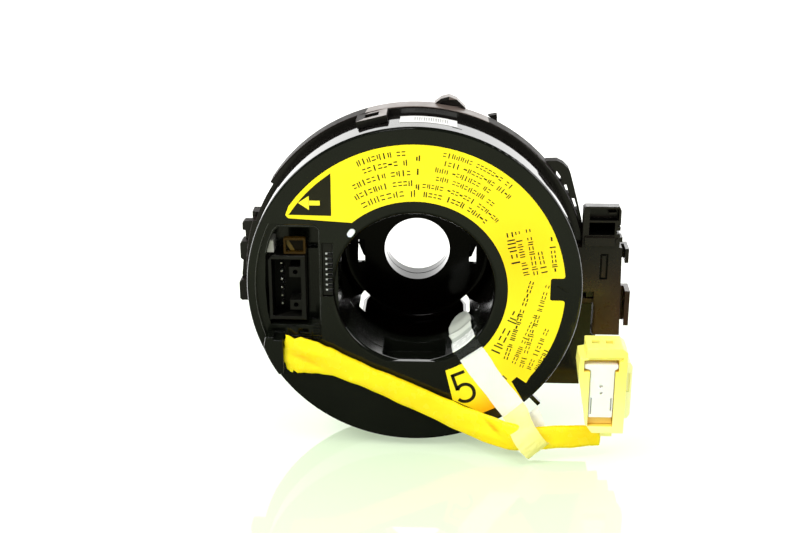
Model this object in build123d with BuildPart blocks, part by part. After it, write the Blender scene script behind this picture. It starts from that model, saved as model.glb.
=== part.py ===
from build123d import *
import math
import os

os.makedirs("parts", exist_ok=True)

# Steering clock spring, millimetres. X right, Z up, the face looks along -Y.
# The rotor turns about the Y axis. Depth d is counted back from the face, and
# Y = d - D0, so the rear mounting plane of the stator is Y = 0.
D0 = 22.0            # face to rear mounting plane
R_FACE = 52.0        # rotor face
R_BORE = 24.7        # bore of the rotor tube
T_FACE = 2.2         # face plate
T_TUBE = 2.0         # tube wall
SKIRT = 5.2          # depth of the rotor's skirt
TUBE_END = 20.0      # where the hub takes over from the cover's tube
R_CASE = 51.8        # case wall, outside
R_FLANGE = 54.4      # stator flange
FLANGE_D = 15.5      # front of the flange
R_SHAFT = 10.9       # shaft hole
DISC_D = 36.7        # front of the hub disc
HUB_END = 47.5       # rear of the cancelling cam
R_SPIGOT = 33.0      # rear spigot
SPIGOT_L = 4.0
LEAD_W, LEAD_T = 9.2, 3.2
LABEL_T = 0.2
PIN = 0.64


def front(d):
    """Plane at depth d that looks out of the face."""
    return Plane.XZ.offset(D0 - d)


BACK = (0, 1, 0)


def turned(points, mode=Mode.ADD):
    """Turn a closed (radius, depth) outline about the rotor axis."""
    with BuildSketch(Plane.XY) as outline:
        with BuildLine():
            Polyline(*[(r, d - D0) for r, d in points], close=True)
        make_face()
    revolve(outline.sketch, axis=Axis.Y, mode=mode)


def prism(points, d0, d1, mode=Mode.ADD):
    """Closed (x, z) outline from depth d0 back to depth d1."""
    with BuildSketch(front(d0)) as outline:
        with BuildLine():
            Polyline(*points, close=True)
        make_face()
    extrude(outline.sketch, amount=d1 - d0, dir=BACK, mode=mode)


def slab(x0, x1, z0, z1, d0, d1, mode=Mode.ADD):
    """Rectangular block between two depths."""
    prism([(x0, z0), (x1, z0), (x1, z1), (x0, z1)], d0, d1, mode)


def disc(r, d0, d1, x=0.0, z=0.0, mode=Mode.ADD):
    """Round boss or hole along the rotor axis."""
    with BuildSketch(front(d0)) as outline:
        with Locations((x, z)):
            Circle(r)
    extrude(outline.sketch, amount=d1 - d0, dir=BACK, mode=mode)


def polar(r, a):
    return (r * math.cos(math.radians(a)), r * math.sin(math.radians(a)))


def radial(a, r0, r1, w, d0, d1, mode=Mode.ADD):
    """Block that points outward at angle a, w wide."""
    ux, uz = polar(1, a)
    nx, nz = -uz, ux
    pts = [(r0 * ux - w / 2 * nx, r0 * uz - w / 2 * nz), (r1 * ux - w / 2 * nx, r1 * uz - w / 2 * nz),
           (r1 * ux + w / 2 * nx, r1 * uz + w / 2 * nz), (r0 * ux + w / 2 * nx, r0 * uz + w / 2 * nz)]
    prism(pts, d0, d1, mode)


def sector(r0, r1, a0, a1, d0, d1, mode=Mode.ADD):
    """Piece of a ring between two angles."""
    am = (a0 + a1) / 2
    with BuildSketch(front(d0)) as outline:
        with BuildLine():
            ThreePointArc(polar(r0, a0), polar(r0, am), polar(r0, a1))
            Line(polar(r0, a1), polar(r1, a1))
            ThreePointArc(polar(r1, a1), polar(r1, am), polar(r1, a0))
            Line(polar(r1, a0), polar(r0, a0))
        make_face()
    extrude(outline.sketch, amount=d1 - d0, dir=BACK, mode=mode)


def save(piece, name):
    piece.part.label = name
    export_step(piece.part, "parts/" + name + ".step")


# outlines on the face, (x, z)
RECESS = [(-43.9, 21.2), (-30.5, 21.2), (-28.9, 19.6), (-28.9, -16.9), (-33.0, -18.5), (-45.6, -18.0)]
WELL = [(-43.0, 18.6), (-41.6, 19.9), (-30.6, 19.9), (-29.6, 18.9), (-29.6, 11.2), (-33.4, 11.2), (-33.4, -12.6),
        (-45.0, -12.6), (-45.9, -8.0),
        (-46.3, 0.0), (-45.9, 10.8), (-44.6, 15.0)]
WELL_OUT = [(-44.1, 19.4), (-42.2, 21.0), (-30.2, 21.0), (-28.5, 19.6), (-28.5, 10.1), (-32.3, 10.1), (-32.3, -13.7),
            (-46.1, -13.7), (-47.0, -8.2),
            (-47.4, 0.0), (-47.0, 11.0), (-45.6, 15.6)]
# shallower bay between the socket and the comb
BAY = [(-33.7, 11.4), (-29.6, 11.4), (-29.6, -12.6), (-33.7, -12.6)]
BAY_OUT = [(-33.7, 11.0), (-28.5, 11.0), (-28.5, -13.7), (-33.7, -13.7)]
PITCH = 1.714
COMB_Z = [-0.5 + PITCH * i for i in range(8)]
SOCKET_Z = [7.5 - 2.7 * i for i in range(6)]

# ---- rotor: front cover -------------------------------------------------
with BuildPart() as rotor_cover:
    turned([(R_BORE, 0), (R_FACE, 0), (R_FACE, SKIRT), (50.2, SKIRT), (50.2, T_FACE),
            (R_BORE + T_TUBE, T_FACE), (R_BORE + T_TUBE, TUBE_END), (R_BORE, TUBE_END)])
    at_face = rotor_cover.edges().filter_by(GeomType.CIRCLE).group_by(Axis.Y)[0].sort_by(SortBy.RADIUS)
    fillet(at_face[0], 1.3)
    fillet(rotor_cover.edges().filter_by(GeomType.CIRCLE).group_by(Axis.Y)[0].sort_by(SortBy.RADIUS)[-1], 0.8)
    turned([(24.2, 6.2), (25.1, 6.2), (25.1, 6.8), (24.2, 6.8)], Mode.SUBTRACT)
    turned([(24.2, 13.7), (25.1, 13.7), (25.1, 14.3), (24.2, 14.3)], Mode.SUBTRACT)
    # pocket under the bore's lower edge
    slab(-11.2, 11.2, -29.0, -22.5, T_FACE, 16.3)
    disc(R_BORE, 1.6, 16.4, mode=Mode.SUBTRACT)
    slab(-10.0, 10.0, -27.8, -20.0, 1.6, 15.1, Mode.SUBTRACT)
    with BuildSketch(front(0)) as chord:
        Circle(26.6)
        with Locations((0, -24.2 + 30)):
            Rectangle(60, 60, mode=Mode.SUBTRACT)
    extrude(chord.sketch, amount=1.6, dir=BACK)
    # flat on the bore's left side, in front of the comb
    with BuildSketch(front(1.4)) as flat:
        Circle(25.6)
        with Locations((-23.6 + 30, 0)):
            Rectangle(60, 60, mode=Mode.SUBTRACT)
    extrude(flat.sketch, amount=14.0, dir=BACK)
    # shallow recess with its arc border, then the deep well for the socket
    prism(WELL_OUT, T_FACE, 10.0)
    prism(BAY_OUT, T_FACE, 7.3)
    with BuildSketch(front(0)) as recess:
        with BuildLine():
            Polyline(*RECESS)
            ThreePointArc(RECESS[-1], (-49.0, 1.0), RECESS[0])
        make_face()
    extrude(recess.sketch, amount=1.0, dir=BACK, mode=Mode.SUBTRACT)
    prism(WELL, 0.5, 9.0, Mode.SUBTRACT)
    prism(BAY, 0.5, 6.4, Mode.SUBTRACT)
    # window for the comb, notches and slots below the socket
    slab(-28.4, -25.0, -2.4, 15.2, -0.1, 9.2, Mode.SUBTRACT)
    slab(-44.6, -38.6, -15.4, -13.9, -0.1, 1.9, Mode.SUBTRACT)
    slab(-36.4, -33.2, -15.4, -13.9, -0.1, 1.9, Mode.SUBTRACT)
    # key of the exit: stem and foot
    slab(-40.4, -36.6, -16.2, -13.0, 0.2, 1.1)
    slab(-41.4, -35.6, -18.3, -16.0, 0.0, 1.1)
    # ribbed grips right of the exit
    for i in range(4):
        slab(-35.2, -32.2, -17.9 + 0.85 * i, -17.5 + 0.85 * i, 0.35, 1.1)
    for i in range(7):
        slab(-31.8, -29.4, -17.2 + 1.0 * i, -16.7 + 1.0 * i, 0.45, 1.1)
    # outlet block of the lead
    with BuildSketch(front(-4.4)) as outlet:
        with BuildLine():
            Polyline((-40.7, -15.6), (-40.7, -27.6), (-42.4, -27.6))
            ThreePointArc((-42.4, -27.6), (-45.3, -22.4), (-46.9, -18.2))
            Polyline((-46.9, -18.2), (-46.2, -14.6), (-43.6, -14.6), (-43.6, -15.6), (-40.7, -15.6))
        make_face()
    extrude(outlet.sketch, amount=4.9, dir=BACK)
    fillet(rotor_cover.edges().filter_by(Plane.XZ).group_by(Axis.Y)[0], 0.5)
    # slanted slot of the alignment mark in the bore's lip
    with BuildSketch(front(-0.1)) as mark_slot:
        with Locations(Location((-19.3, 18.5), 54)):
            SlotOverall(3.4, 2.3)
    extrude(mark_slot.sketch, amount=1.3, dir=BACK, mode=Mode.SUBTRACT)
    # scribed match mark in the label's notch
    with BuildSketch(front(-0.1)) as scribe:
        with Locations(Location((45.8, 1.1), -32)):
            Rectangle(4.4, 0.25)
    extrude(scribe.sketch, amount=0.3, dir=BACK, mode=Mode.SUBTRACT)
    # snap notch in the skirt's lower edge
    radial(76.0, 49.0, 52.3, 3.0, 4.5, 5.3, Mode.SUBTRACT)
save(rotor_cover, "rotor_cover")

# ---- rotor: socket, comb and what sits in the well -----------------------
with BuildPart() as rotor_socket_housing:
    slab(-45.3, -33.6, -10.9, 10.7, 0.8, 9.0)
    upright = rotor_socket_housing.edges().filter_by(Axis.Y)
    fillet(upright.sort_by(lambda e: e.center().X - e.center().Z)[0], 2.5)
    fillet(rotor_socket_housing.edges().group_by(Axis.Y)[0], 0.35)
    slab(-44.2, -35.1, -9.6, 9.4, 0.5, 7.8, Mode.SUBTRACT)
    for z in (4.7, -6.3):
        slab(-38.9, -35.1, z - 1.7, z + 1.7, 2.2, 7.8)
        disc(0.75, 2.0, 5.5, -37.0, z, Mode.SUBTRACT)
    for z in SOCKET_Z:
        slab(-41.3 - PIN / 2, -41.3 + PIN / 2, z - PIN / 2, z + PIN / 2, 7.0, 9.1, Mode.SUBTRACT)
save(rotor_socket_housing, "rotor_socket_housing")

with BuildPart() as rotor_socket_pins:
    for z in SOCKET_Z:
        slab(-41.3 - PIN / 2, -41.3 + PIN / 2, z - PIN / 2, z + PIN / 2, 2.5, 9.0)
    fillet(rotor_socket_pins.edges().group_by(Axis.Y)[0], 0.15)
save(rotor_socket_pins, "rotor_socket_pins")

with BuildPart() as rotor_lead_block:
    slab(-28.2, -25.2, -2.2, 15.0, 0.5, 9.0)
    for z in COMB_Z:
        slab(-27.4, -25.0, z - 0.45, z + 0.45, 0.4, 2.5, Mode.SUBTRACT)
    slab(-31.0, -27.6, 0.0, 8.0, 7.5, 16.3)
save(rotor_lead_block, "rotor_lead_block")

with BuildPart() as rotor_bus_bars:
    for z in COMB_Z:
        slab(-27.4, -25.3, z - 0.33, z + 0.33, 2.1, 2.5)
        slab(-27.4, -26.8, z - 0.33, z + 0.33, 0.9, 2.5)
save(rotor_bus_bars, "rotor_bus_bars")

with BuildPart() as amber_frame:
    slab(-40.3, -33.5, 10.9, 16.1, 1.6, 3.4)
    fillet(amber_frame.edges().filter_by(Axis.Y), 0.4)
    slab(-39.6, -34.2, 11.6, 15.4, 1.5, 2.8, Mode.SUBTRACT)
    slab(-40.3, -33.5, 10.9, 12.2, 3.3, 9.0)
save(amber_frame, "amber_frame")

with BuildPart() as align_mark:
    with BuildSketch(front(0.15)) as mark:
        with Locations(Location((-19.3, 18.5), 54)):
            SlotOverall(3.0, 1.9)
    extrude(mark.sketch, amount=1.05, dir=BACK)
    fillet(align_mark.edges().group_by(Axis.Y)[0], 0.15)
save(align_mark, "align_mark")

R_LAB_OUT, R_LAB_IN = 46.7, 29.0
with BuildPart() as yellow_label:
    with BuildSketch(front(-LABEL_T)) as label_outline:
        a_low, a_top = -37.7, 144.8
        notch_lo, notch_hi = math.degrees(math.asin(-2.7 / R_LAB_OUT)), math.degrees(math.asin(4.7 / R_LAB_OUT))
        in_a, in_b = 130.8, -69.7
        with BuildLine():
            ThreePointArc(polar(R_LAB_IN, in_a), polar(R_LAB_IN, 30), polar(R_LAB_IN, in_b))
            Polyline(polar(R_LAB_IN, in_b), (12.5, -37.5), (22.0, -42.0), (27.6, -39.2), (31.2, -40.2),
                     (34.6, -37.0), (31.0, -30.6), (32.6, -28.9), (35.6, -31.0), polar(R_LAB_OUT, a_low))
            ThreePointArc(polar(R_LAB_OUT, a_low), polar(R_LAB_OUT, -20), polar(R_LAB_OUT, notch_lo))
            Polyline(polar(R_LAB_OUT, notch_lo), (42.0, -2.7), (42.0, 4.7), polar(R_LAB_OUT, notch_hi))
            ThreePointArc(polar(R_LAB_OUT, notch_hi), polar(R_LAB_OUT, 80), polar(R_LAB_OUT, a_top))
            Polyline(polar(R_LAB_OUT, a_top), (-39.2, 24.2), (-38.3, 23.2), polar(R_LAB_IN, in_a))
        make_face()
        fillet([v for v in label_outline.vertices() if v.X > 40 and abs(v.Z) < 6], 0.8)
    extrude(label_outline.sketch, amount=LABEL_T, dir=BACK)
save(yellow_label, "yellow_label")

# ---- rotor: hub and cam --------------------------------------------------
with BuildPart() as hub_sleeve:
    turned([(24.9, TUBE_END), (26.5, TUBE_END), (26.5, 22.3), (29.6, 22.3), (29.6, 23.6), (26.5, 23.6),
            (26.5, 38.4), (13.2, 38.4), (13.2, 42.4), (R_SHAFT, 42.4), (R_SHAFT, DISC_D), (24.9, DISC_D)])
    fillet(hub_sleeve.edges().filter_by(GeomType.CIRCLE).filter_by(
        lambda e: abs(e.radius - 24.9) < 0.05 and abs(e.center().Y - (DISC_D - D0)) < 0.05), 2.0)
    chamfer(hub_sleeve.edges().filter_by(GeomType.CIRCLE).filter_by(
        lambda e: abs(e.radius - R_SHAFT) < 0.05), 0.3)
    for a in (-136.0, -47.5, 44.0, 136.0):
        radial(a, 23.3, 28.0, 2.7, 25.3, 38.5, Mode.SUBTRACT)
    slab(-19.8, -17.6, -4.9, 3.1, 36.0, 38.5, Mode.SUBTRACT)
    slab(17.5, 19.8, -4.8, 1.9, 36.0, 38.5, Mode.SUBTRACT)
save(hub_sleeve, "hub_sleeve")

with BuildPart() as cancel_cam:
    turned([(R_SHAFT, 42.4), (13.4, 42.4), (13.4, 39.0), (16.0, 39.0), (16.0, HUB_END), (R_SHAFT, HUB_END)])
    for s in (1, -1):
        prism([(s * 12.5, -6.5), (s * 18.4, -4.6), (s * 20.2, 0), (s * 18.4, 4.6), (s * 12.5, 6.5)], 42.6, HUB_END)
    disc(12.4, 42.4, HUB_END)
    disc(R_SHAFT, 42.0, HUB_END + 1, mode=Mode.SUBTRACT)
    chamfer(cancel_cam.edges().filter_by(GeomType.CIRCLE).filter_by(
        lambda e: abs(e.radius - R_SHAFT) < 0.05), 0.3)
save(cancel_cam, "cancel_cam")

# ---- rotor: tape on the face and in the bore (thin, closed solids) -------
TAPE_A = -53.0
with BuildPart() as tape_tongue:
    sector(24.1, 24.4, -64.0, -42.5, -0.5, 27.6)
    # rounded far end, cut along the tongue's own radial direction
    ux, uz = polar(1, TAPE_A)
    tongue_plane = Plane(origin=(20 * ux, 27.6 - D0, 20 * uz), x_dir=(-uz, 0, ux), z_dir=(ux, 0, uz))
    with BuildSketch(tongue_plane) as rounded:
        with BuildLine():
            ThreePointArc((-4.8, 4.8), (0, 0), (4.8, 4.8))
            Polyline((4.8, 4.8), (7, 4.8), (7, -1), (-7, -1), (-7, 4.8), (-4.8, 4.8))
        make_face()
    extrude(rounded.sketch, amount=6.0, dir=(ux, 0, uz), mode=Mode.SUBTRACT)
save(tape_tongue, "tape_tongue")

with BuildPart() as tape_film:
    radial(TAPE_A, 24.4, 29.0, 8.6, -0.5, -0.2)
save(tape_film, "tape_film")

STRIP_U = Vector(18.3, 0, -18.84).normalized()
with BuildPart() as tape_strip:
    strip_plane = Plane(origin=(17.6, -D0, -23.35), x_dir=STRIP_U, z_dir=(-STRIP_U.Z, 0, STRIP_U.X))
    with BuildSketch(strip_plane) as strip_side:
        with BuildLine():
            Polyline((0.6, -0.2), (16, -0.2), (21, -2.3), (21, -2.6), (16, -0.5), (0.6, -0.5), close=True)
        make_face()
    extrude(strip_side.sketch, amount=4.3, both=True)
save(tape_strip, "tape_strip")

with BuildPart() as tape_wrap:
    slab(31.5, 40.0, -53.8, -42.0, -7.9, -0.8)
    slab(31.0, 40.5, -53.4, -42.4, -7.5, -1.2, Mode.SUBTRACT)
save(tape_wrap, "tape_wrap")

# ---- rotor: the free lead, a flat sleeve ---------------------------------
LEAD_XZ = [(-40.7, -20.9), (-30.0, -22.2), (-15.0, -28.7), (2.0, -36.7), (18.0, -44.6), (33.0, -48.3),
           (46.0, -47.3), (59.0, -46.5)]
LEAD = [Vector(x, -2.3 - (x + 40.7) * 2.7 / 99.7 - D0, z) for x, z in LEAD_XZ]
LEAD_R = []
for a, b, c in zip(LEAD, LEAD[1:], LEAD[2:]):
    turn = (b - a).get_angle(c - b)
    LEAD_R.append(0.45 * min((b - a).length, (c - b).length) / math.tan(math.radians(turn / 2)))
print("lead radii mm", [round(r, 1) for r in LEAD_R])
with BuildPart() as lead_sleeve:
    with BuildLine() as lead_path:
        FilletPolyline(*LEAD, radius=LEAD_R)
    tangent = (LEAD[1] - LEAD[0]).normalized()
    across = Vector(0.027, 1, 0).normalized()
    with BuildSketch(Plane(origin=LEAD[0], x_dir=tangent.cross(across), z_dir=tangent)) as lead_section:
        SlotOverall(LEAD_W, LEAD_T)
    sweep(lead_section.sketch, path=lead_path.line)
LEAD_L = sum(e.length for e in lead_path.edges())
print("lead length", round(LEAD_L, 2), "section", round(lead_section.sketch.area, 2), "volume",
      round(lead_sleeve.part.volume, 1), "section x length", round(lead_section.sketch.area * LEAD_L, 1))
save(lead_sleeve, "lead_sleeve")

# ---- rotor: airbag plug on the lead --------------------------------------
PX0, PX1, PZ0, PZ1, PD0, PD1 = 51.5, 65.3, -41.6, -12.9, -13.0, -3.0
with BuildPart() as plug_body:
    prism([(52.9, PZ1), (PX1 - 1.6, PZ1), (PX1, PZ1 - 1.4), (PX1, PZ0), (55.6, PZ0), (53.4, -38.6),
           (51.2, -25.0), (50.6, -20.6), (50.9, -16.4), (52.9, -16.0)], PD0, PD1)
    fillet(plug_body.edges().filter_by(Axis.Y), 0.35)
    fillet(plug_body.edges().group_by(Axis.Y)[0], 0.3)
    # track of the lock, open at the front
    slab(54.1, 61.8, -39.2, -16.8, -13.1, -10.0, Mode.SUBTRACT)
    slab(52.2, 62.8, -20.6, -16.8, -13.1, -10.0, Mode.SUBTRACT)
    slab(53.6, 64.0, -17.0, -15.8, -13.1, -12.4, Mode.SUBTRACT)
    # contact chambers and the ferrite's pocket, open at the top
    for x in (55.9, 60.1):
        slab(x - 1.2, x + 1.2, -30.0, PZ1 + 0.1, -8.8, -6.6, Mode.SUBTRACT)
    slab(54.0, 63.0, -38.5, -31.0, -9.0, -4.4, Mode.SUBTRACT)
    # outlet under the body, beside the sleeve's end
    slab(59.0, 62.6, -45.6, PZ0, -7.4, -3.2)
    # side rib
    prism([(PX1 - 0.1, -19.0), (PX1 + 1.4, -19.0), (PX1 + 2.1, -20.2), (PX1 + 2.1, -36.6), (PX1 + 1.2, -38.0), (PX1 - 0.1, -38.0)], -9.5, -5.0)
    slab(PX1 + 0.5, PX1 + 1.5, -29.0, -22.5, -9.6, -8.8, Mode.SUBTRACT)
save(plug_body, "plug_body")

with BuildPart() as plug_lock:
    prism([(52.4, -18.3), (62.6, -18.3), (62.6, -19.6), (61.6, -20.2), (61.6, -36.2), (54.3, -36.2),
           (54.3, -20.2), (52.4, -19.6)], -12.6, -10.1)
    fillet(plug_lock.edges().filter_by(Axis.Y), 0.3)
    slab(54.7, 55.1, -35.2, -29.6, -12.7, -11.4, Mode.SUBTRACT)
    slab(60.8, 61.2, -34.0, -29.6, -12.7, -11.4, Mode.SUBTRACT)
    disc(0.55, -12.7, -11.8, 57.7, -25.7, Mode.SUBTRACT)
    disc(0.45, -12.7, -11.8, 57.9, -28.0, Mode.SUBTRACT)
save(plug_lock, "plug_lock")

with BuildPart() as plug_retainer:
    slab(54.3, 61.6, -39.0, -36.9, -11.2, -10.0)
save(plug_retainer, "plug_retainer")

with BuildPart() as plug_contacts:
    for x in (55.9, 60.1):
        slab(x - 1.0, x + 1.0, -29.8, -15.0, -8.6, -6.8)
        slab(x - 0.6, x + 0.6, -27.0, -14.9, -8.2, -7.2, Mode.SUBTRACT)
save(plug_contacts, "plug_contacts")

with BuildPart() as plug_ferrite:
    slab(54.2, 62.8, -38.3, -31.2, -8.8, -4.6)
    for x in (56.2, 60.8):
        with BuildSketch(Plane.XY.offset(-38.4)) as bore:
            with Locations((x, -6.7 - D0)):
                Circle(1.1)
        extrude(bore.sketch, amount=8.0, mode=Mode.SUBTRACT)
save(plug_ferrite, "plug_ferrite")

# ---- stator: case --------------------------------------------------------
with BuildPart() as stator_case:
    turned([(48.9, 3.0), (49.7, 3.0), (49.7, 5.5), (R_CASE, 5.5), (R_CASE, FLANGE_D), (50.4, FLANGE_D),
            (50.4, 11.8), (32.5, 11.8), (32.5, 10.8), (50.2, 10.8), (50.2, 6.6), (48.9, 6.6)])
    slab(45.0, 53.0, -6.2, 6.2, 12.0, FLANGE_D + 0.1, Mode.SUBTRACT)
    radial(76.0, 50.6, 52.5, 3.0, 5.4, 6.0, Mode.SUBTRACT)
    # snap barb for the latch, and the guide peg low on the right
    radial(104.3, 51.6, 53.3, 3.6, 11.6, 13.4)
    radial(-46.7, 51.2, 59.4, 1.4, 9.0, 11.0)
save(stator_case, "stator_case")

# ---- stator: back plate with everything moulded to it --------------------
with BuildPart() as stator_back_plate:
    turned([(27.1, 17.0), (28.3, 17.0), (28.3, 20.0), (50.4, 20.0), (50.4, FLANGE_D), (R_FLANGE, FLANGE_D),
            (R_FLANGE, D0), (R_SPIGOT, D0), (R_SPIGOT, D0 + SPIGOT_L), (30.4, D0 + SPIGOT_L), (30.4, D0), (27.1, D0)])
    sector(53.4, 55.0, 147.0, 162.0, FLANGE_D - 0.1, D0 + 0.1, Mode.SUBTRACT)
    fillet(stator_back_plate.edges().filter_by(GeomType.CIRCLE).filter_by(
        lambda e: abs(e.radius - R_FLANGE) < 0.05 and e.center().Y < -5), 0.5)
    # latch on the upper left of the case wall
    radial(104.3, 51.95, 54.2, 9.6, 7.5, 21.0)
    radial(104.3, 51.0, 55.0, 4.4, 9.8, 14.0, Mode.SUBTRACT)
    # latches on the left
    prism([(-52.0, 14.9), (-55.2, 14.9), (-55.9, 14.2), (-55.9, 11.9), (-55.0, 11.7), (-55.0, 8.6), (-52.5, 8.2)], 20.5, 23.5)
    prism([(-52.0, 8.4), (-56.0, 8.4), (-56.7, 7.6), (-56.7, 2.8), (-56.1, 2.2), (-51.6, 2.2)], 19.0, 24.0)
    prism([(-51.8, 3.1), (-56.0, 2.9), (-56.2, 1.2), (-56.7, -3.4), (-56.6, -6.0), (-51.7, -6.2)], 21.0, 22.6)
    prism([(-51.2, -4.3), (-56.9, -5.0), (-57.5, -5.8), (-57.5, -11.4), (-56.9, -12.0), (-51.0, -12.0)], 19.0, 24.0)
    prism([(-50.0, 15.5), (-52.4, 15.5), (-52.4, 18.3), (-49.0, 18.3)], 20.0, 25.0)
    # lug on top, post with its pointed head
    prism([(5.5, 52.5), (5.5, 54.0), (7.5, 55.6), (10.0, 56.3), (12.5, 55.3), (15.2, 52.6), (14.6, 51.8), (6.6, 52.0)], 20.6, 24.5)
    prism([(6.6, 53.6), (8.1, 54.7), (10.0, 55.3), (12.1, 54.5), (13.8, 52.9)], 20.5, 21.3, Mode.SUBTRACT)
    prism([(22.0, 43.5), (25.2, 43.5), (25.2, 45.9), (25.2, 47.6), (24.2, 47.6), (24.2, 45.9), (22.0, 45.9)], 21.0, 29.0)
    prism([(22.3, 48.8), (24.2, 47.2), (25.2, 47.2), (25.1, 49.3)], 26.5, 29.0)
    # bracket arm on the upper right
    prism([(38.9, 36.0), (40.8, 36.8), (43.9, 36.9), (45.9, 35.9), (47.6, 34.2), (48.3, 32.6), (49.2, 29.5), (50.1, 26.3),
           (51.1, 22.6), (52.4, 17.5), (53.4, 12.6), (51.6, 12.4), (49.5, 20.4), (47.0, 26.0), (43.4, 31.5)], 18.0, 21.6)
    prism([(43.8, 33.6), (45.5, 31.3), (45.3, 29.9), (43.6, 32.0)], 17.9, 22.2, Mode.SUBTRACT)
    prism([(48.9, 24.7), (49.7, 24.7), (50.9, 21.0), (50.3, 20.8)], 17.9, 22.2, Mode.SUBTRACT)
    prism([(46.2, 29.0), (47.0, 29.2), (48.0, 26.4), (47.4, 26.1)], 17.9, 22.2, Mode.SUBTRACT)
    # panel on the lower right
    with BuildSketch(front(14.0)) as panel:
        with BuildLine():
            Polyline((50.0, -9.2), (56.6, -9.2), (56.6, -19.6), (58.5, -21.2), (58.5, -37.9), (33.0, -37.9), (44.0, -26.0), close=True)
        make_face()
        Circle(51.95, mode=Mode.SUBTRACT)
    extrude(panel.sketch, amount=8.0, dir=BACK)
    with BuildSketch(front(22.0)) as rib:
        Circle(46.0)
        Circle(44.8, mode=Mode.SUBTRACT)
    extrude(rib.sketch, amount=1.4, dir=BACK)
    for a in (15, 60, 105, 165, 210, 255, 300, 345):
        radial(a, 40.0, 45.2, 1.2, 21.9, 23.4)
save(stator_back_plate, "stator_back_plate")

# ---- stator: column connector on the right --------------------------------
with BuildPart() as column_plug_housing:
    prism([(50.0, 10.5), (64.8, 10.5), (65.6, -19.3), (57.0, -19.3), (57.0, -8.9), (50.0, -8.9)], 12.0, 34.0)
    with BuildSketch(front(11.9)) as keep_a:
        Circle(51.9)
    extrude(keep_a.sketch, amount=FLANGE_D - 11.9, dir=BACK, mode=Mode.SUBTRACT)
    with BuildSketch(front(FLANGE_D)) as keep_b:
        Circle(54.55)
    extrude(keep_b.sketch, amount=20, dir=BACK, mode=Mode.SUBTRACT)
    # open tower above it
    prism([(52.3, 10.5), (52.3, 23.4), (53.0, 24.0), (63.4, 24.0), (64.0, 22.8), (64.0, 10.5)], 12.0, 15.4)
    slab(53.6, 63.2, 10.5, 19.4, 15.3, 25.0)
    slab(54.2, 63.3, 19.5, 23.3, 11.9, 14.8, Mode.SUBTRACT)
    slab(54.2, 62.2, 14.7, 18.8, 11.9, 23.0, Mode.SUBTRACT)
    slab(52.9, 62.3, 11.3, 14.1, 11.0, 12.1)
    slab(62.9, 64.1, 15.0, 16.2, 11.9, 15.5, Mode.SUBTRACT)
    slab(63.2, 64.1, 17.3, 18.1, 11.9, 13.4, Mode.SUBTRACT)
    slab(62.7, 63.5, 12.2, 13.6, 11.3, 12.1)
    slab(60.2, 62.6, 21.3, 21.9, 12.9, 14.9)
    slab(63.9, 64.8, 12.4, 14.0, 12.0, 16.0)
    # face details: groove, notch, step
    slab(58.2, 60.7, -0.2, 8.4, 11.9, 12.5, Mode.SUBTRACT)
    slab(58.8, 60.1, 0.4, 7.8, 12.1, 12.6)
    slab(53.4, 56.8, -9.0, -4.5, 11.9, 13.6, Mode.SUBTRACT)
    slab(57.0, 57.4, -19.4, -9.0, 11.9, 12.5, Mode.SUBTRACT)
    # chamber for the lead block and mouth of the plug, open at the rear
    slab(51.0, 63.0, -7.4, 7.4, 13.5, 19.0, Mode.SUBTRACT)
    prism([(56.4, 9.0), (63.4, 9.0), (63.9, -17.9), (58.6, -17.9), (58.6, -7.5), (56.4, -7.5)], 20.5, 34.1, Mode.SUBTRACT)
    for x in (58.2, 61.2):
        for z in (6.5, 3.0, -0.5, -4.0):
            slab(x - PIN / 2, x + PIN / 2, z - PIN / 2, z + PIN / 2, 18.0, 21.0, Mode.SUBTRACT)
    # latch wings on the right side
    slab(64.5, 68.1, 2.8, 7.6, 24.0, 26.0)
    slab(66.9, 68.1, 2.8, 7.6, 19.0, 25.0)
    slab(64.5, 69.3, -19.0, -7.0, 24.0, 26.0)
    slab(67.7, 69.3, -19.0, -7.0, 19.0, 25.0)
save(column_plug_housing, "column_plug_housing")

with BuildPart() as stator_lead_block:
    slab(49.3, 52.6, -5.5, 5.5, 13.7, 15.3)
    slab(52.3, 54.6, -5.5, 5.5, 13.7, 15.3)
    slab(54.6, 62.5, -7.0, 7.0, 13.7, 17.0)
    disc(54.6, 15.4, 20.0, mode=Mode.SUBTRACT)
save(stator_lead_block, "stator_lead_block")

with BuildPart() as column_terminals:
    for x in (58.2, 61.2):
        for z in (6.5, 3.0, -0.5, -4.0):
            slab(x - PIN / 2, x + PIN / 2, z - PIN / 2, z + PIN / 2, 17.0, 30.0)
save(column_terminals, "column_terminals")

# ---- stator: wound cable and its slide sheets -----------------------------
CABLE_T, CABLE_PITCH, R_IN, HALVES = 0.25, 1.4, 33.5, 21
with BuildPart() as flat_cable:
    ends = [(-1) ** (i + 1) * (R_IN + CABLE_PITCH / 2 * i) for i in range(HALVES + 1)]
    with BuildSketch(front(12.3)) as spiral:
        with BuildLine():
            for side in (1, -1):
                grow = side * CABLE_T / 2
                for i in range(HALVES):
                    p = ends[i] + math.copysign(grow, ends[i]) * 1.0
                    q = ends[i + 1] + math.copysign(grow, ends[i + 1]) * 1.0
                    if side < 0:
                        p = ends[i] - math.copysign(CABLE_T / 2, ends[i])
                        q = ends[i + 1] - math.copysign(CABLE_T / 2, ends[i + 1])
                    up = 1 if i % 2 == 0 else -1
                    ThreePointArc((p, 0), ((p + q) / 2, up * abs(q - p) / 2), (q, 0))
            for e in (ends[0], ends[-1]):
                Line((e - CABLE_T / 2, 0), (e + CABLE_T / 2, 0))
        make_face()
    extrude(spiral.sketch, amount=6.9, dir=BACK)
save(flat_cable, "flat_cable")

with BuildPart() as front_slide_sheet:
    turned([(33.0, 11.8), (50.0, 11.8), (50.0, 12.0), (33.0, 12.0)])
save(front_slide_sheet, "front_slide_sheet")

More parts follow.
